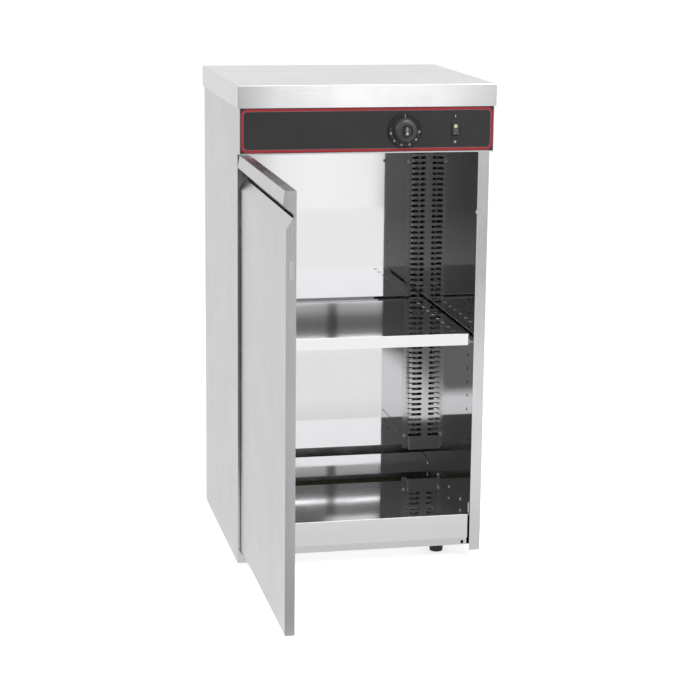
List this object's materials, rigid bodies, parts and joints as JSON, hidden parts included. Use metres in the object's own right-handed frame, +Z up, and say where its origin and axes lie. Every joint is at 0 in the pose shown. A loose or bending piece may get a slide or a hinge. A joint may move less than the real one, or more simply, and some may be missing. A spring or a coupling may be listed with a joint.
{
  "type": "plate warmer cabinet",
  "caption": "Free-standing heated cabinet with a hinged insulated door, a lift-out shelf, slotted corner air ducts, a thermostat knob and a rocker switch.",
  "frame": {"origin": "on the floor, at mid-width, in the plane of the closed door's outer face, which lies midway between the open door's free edge and the cabinet's back", "axes": "+X to the right seen from the front, +Y from the front into the cabinet, +Z up"},
  "size_m": [0.45, 0.8546, 0.86],
  "materials": {
    "satin_stainless": "satin",
    "polished_stainless": "polished",
    "galvanised_steel": "satin",
    "overlay_film": "satin",
    "stud_steel": "satin",
    "rivet_steel": "satin",
    "heater_sheath": "matte",
    "zinc_steel": "satin",
    "bracket_steel": "satin",
    "mineral_wool": "matte",
    "switch_plastic": "satin",
    "knob_plastic": "gloss",
    "knob_metal": "polished",
    "copper": "satin",
    "nylon": "matte",
    "magnet": "matte",
    "anodised_aluminium": "satin",
    "neon_lens": "gloss",
    "foot_rubber": "matte"
  },
  "bodies": {
    "cabinet": {"back_liner": "polished_stainless", "back_panel": "galvanised_steel", "back_screws": "zinc_steel", "base_pan": "satin_stainless", "catch_striker": "bracket_steel", "ceiling_liner": "polished_stainless", "control_fascia": "satin_stainless", "cord_bushing": "switch_plastic", "duct_cover_left": "polished_stainless", "duct_cover_right": "polished_stainless", "duct_screws": "zinc_steel", "fascia_overlay": "overlay_film", "feet": "foot_rubber", "floor_tray": "polished_stainless", "foot_bolts": "zinc_steel", "foot_nuts": "zinc_steel", "heater_clips": "zinc_steel", "heater_left": "heater_sheath", "heater_right": "heater_sheath", "hinge_screw": "zinc_steel", "insulation_back": "mineral_wool", "insulation_left": "mineral_wool", "insulation_right": "mineral_wool", "left_liner": "polished_stainless", "left_side_panel": "satin_stainless", "lower_hinge_bracket": "bracket_steel", "right_liner": "polished_stainless", "right_side_panel": "satin_stainless", "sensor_clips": "zinc_steel", "shelf_studs": "stud_steel", "switch_housing": "switch_plastic", "terminal_block": "nylon", "thermostat_body": "switch_plastic", "thermostat_sensor": "copper", "top_cover": "satin_stainless", "tray_rivets": "rivet_steel", "upper_hinge_pin": "zinc_steel"},
    "door": {"door_outer_skin": "satin_stainless", "door_inner_panel": "satin_stainless", "door_insulation": "mineral_wool", "door_bushes": "nylon", "door_magnet": "magnet", "door_edge_plate": "anodised_aluminium"},
    "knob": {"control_knob": "knob_plastic", "thermostat_shaft": "zinc_steel", "knob_insert": "knob_metal"},
    "rocker": {"switch_rocker": "switch_plastic", "switch_lens": "neon_lens"},
    "shelf": {"shelf": "polished_stainless"}
  },
  "joints": [
    {"name": "door_hinge", "type": "hinge", "parent": "cabinet", "child": "door", "pos_m": [-0.2115, 0.0055, 0.39], "axis": [0, 0, 1], "range_deg": [-90, 90]},
    {"name": "thermostat_turn", "type": "hinge", "parent": "cabinet", "child": "knob", "pos_m": [0.0635, -0.01, 0.7815], "axis": [0, 1, 0], "range_deg": [0, 300]},
    {"name": "switch_rock", "type": "hinge", "parent": "cabinet", "child": "rocker", "pos_m": [0.153, -0.0041, 0.783], "axis": [1, 0, 0], "range_deg": [0, 16]},
    {"name": "shelf_lift", "type": "slide", "parent": "cabinet", "child": "shelf", "axis": [0, 0, 1], "range_m": [0, 0.32]}
  ]
}
